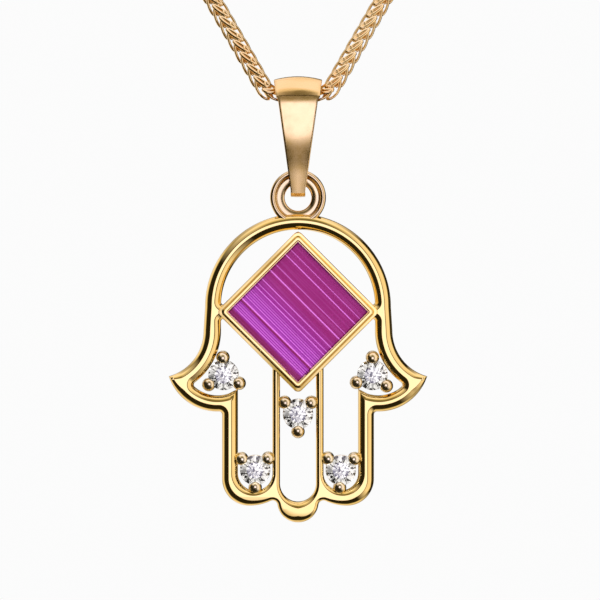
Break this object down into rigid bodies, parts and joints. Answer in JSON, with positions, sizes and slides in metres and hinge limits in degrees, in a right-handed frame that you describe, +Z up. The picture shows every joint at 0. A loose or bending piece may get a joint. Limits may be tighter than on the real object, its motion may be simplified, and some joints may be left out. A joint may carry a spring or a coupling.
{
  "type": "hamsa pendant",
  "caption": "Hand-shaped openwork pendant with a square striped panel and round prong-set stones, hung by a bail on a woven chain necklace.",
  "frame": {"origin": "centre of the neck that the chain goes round", "axes": "+X to the viewer's right when the pendant is seen from the front, +Y from the front to the back, +Z up"},
  "size_m": [0.1088, 0.1078, 0.1677],
  "materials": {
    "chain": "bright woven gold",
    "metal": "polished gold",
    "panel": "glossy, with thin lighter stripes",
    "stone": "clear faceted stone"
  },
  "bodies": {
    "necklace": {"chain": "chain", "clasp": "metal"},
    "bail": {"bail": "metal"},
    "hamsa": {"hand_frame": "metal", "panel": "panel", "thumb_stone_left": "stone", "thumb_stone_right": "stone", "middle_stone": "stone", "finger_stone_left": "stone", "finger_stone_right": "stone"}
  },
  "joints": [
    {"name": "bail_swing", "type": "hinge", "parent": "necklace", "child": "bail", "pos_m": [0, -0.07371, -0.10145], "axis": [1, 0, 0], "range_deg": [-60, 60]},
    {"name": "pendant_swing", "type": "hinge", "parent": "bail", "child": "hamsa", "pos_m": [0, -0.07371, -0.10547], "axis": [1, 0, 0], "range_deg": [-40, 40]}
  ]
}
